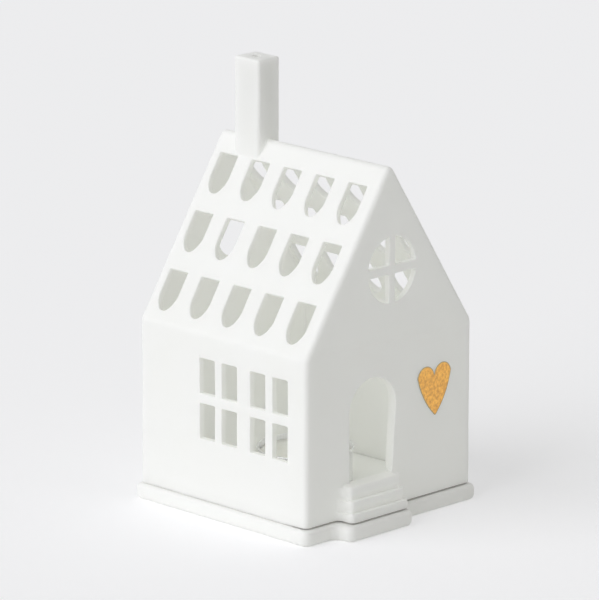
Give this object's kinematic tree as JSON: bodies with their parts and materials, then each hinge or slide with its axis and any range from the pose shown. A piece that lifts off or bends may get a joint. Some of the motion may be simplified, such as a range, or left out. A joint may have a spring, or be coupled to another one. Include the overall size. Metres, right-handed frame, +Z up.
{
  "type": "tealight house",
  "caption": "Porcelain tealight house: a pierced hollow shell with chimney, door, stair and windows that lifts off its own plate, over a tealight in its cup.",
  "frame": {"origin": "on the plate's underside, below the middle of the four walls (the stair's tongue reaches further out in front)", "axes": "+Z up; the front gable with the door and stair faces -Y; the wall with the two windows faces -X; the ridge runs along Y"},
  "size_m": [0.094, 0.1021, 0.1714],
  "materials": {
    "shell_porcelain": "unglazed matt white porcelain, polished smooth",
    "plate_porcelain": "unglazed matt white porcelain, polished smooth",
    "gold_lustre": "fired gold film, satin",
    "cup_aluminium": "bright drawn sheet",
    "candle_wax": "white paraffin wax, satin",
    "wick_cotton": "waxed cotton braid",
    "wick_foot_tin": "tinned sheet"
  },
  "bodies": {
    "base": {"base_plate": "plate_porcelain"},
    "house": {"house_shell": "shell_porcelain", "gold_heart": "gold_lustre"},
    "tealight": {"tealight_cup": "cup_aluminium", "tealight_wax": "candle_wax", "tealight_wick": "wick_cotton", "wick_foot": "wick_foot_tin"}
  },
  "joints": [
    {"name": "house_lift", "type": "slide", "parent": "base", "child": "house", "axis": [0, 0, 1], "range_m": [0, 0.08]},
    {"name": "tealight_lift", "type": "slide", "parent": "base", "child": "tealight", "axis": [0, 0, 1], "range_m": [0, 0.04]}
  ]
}
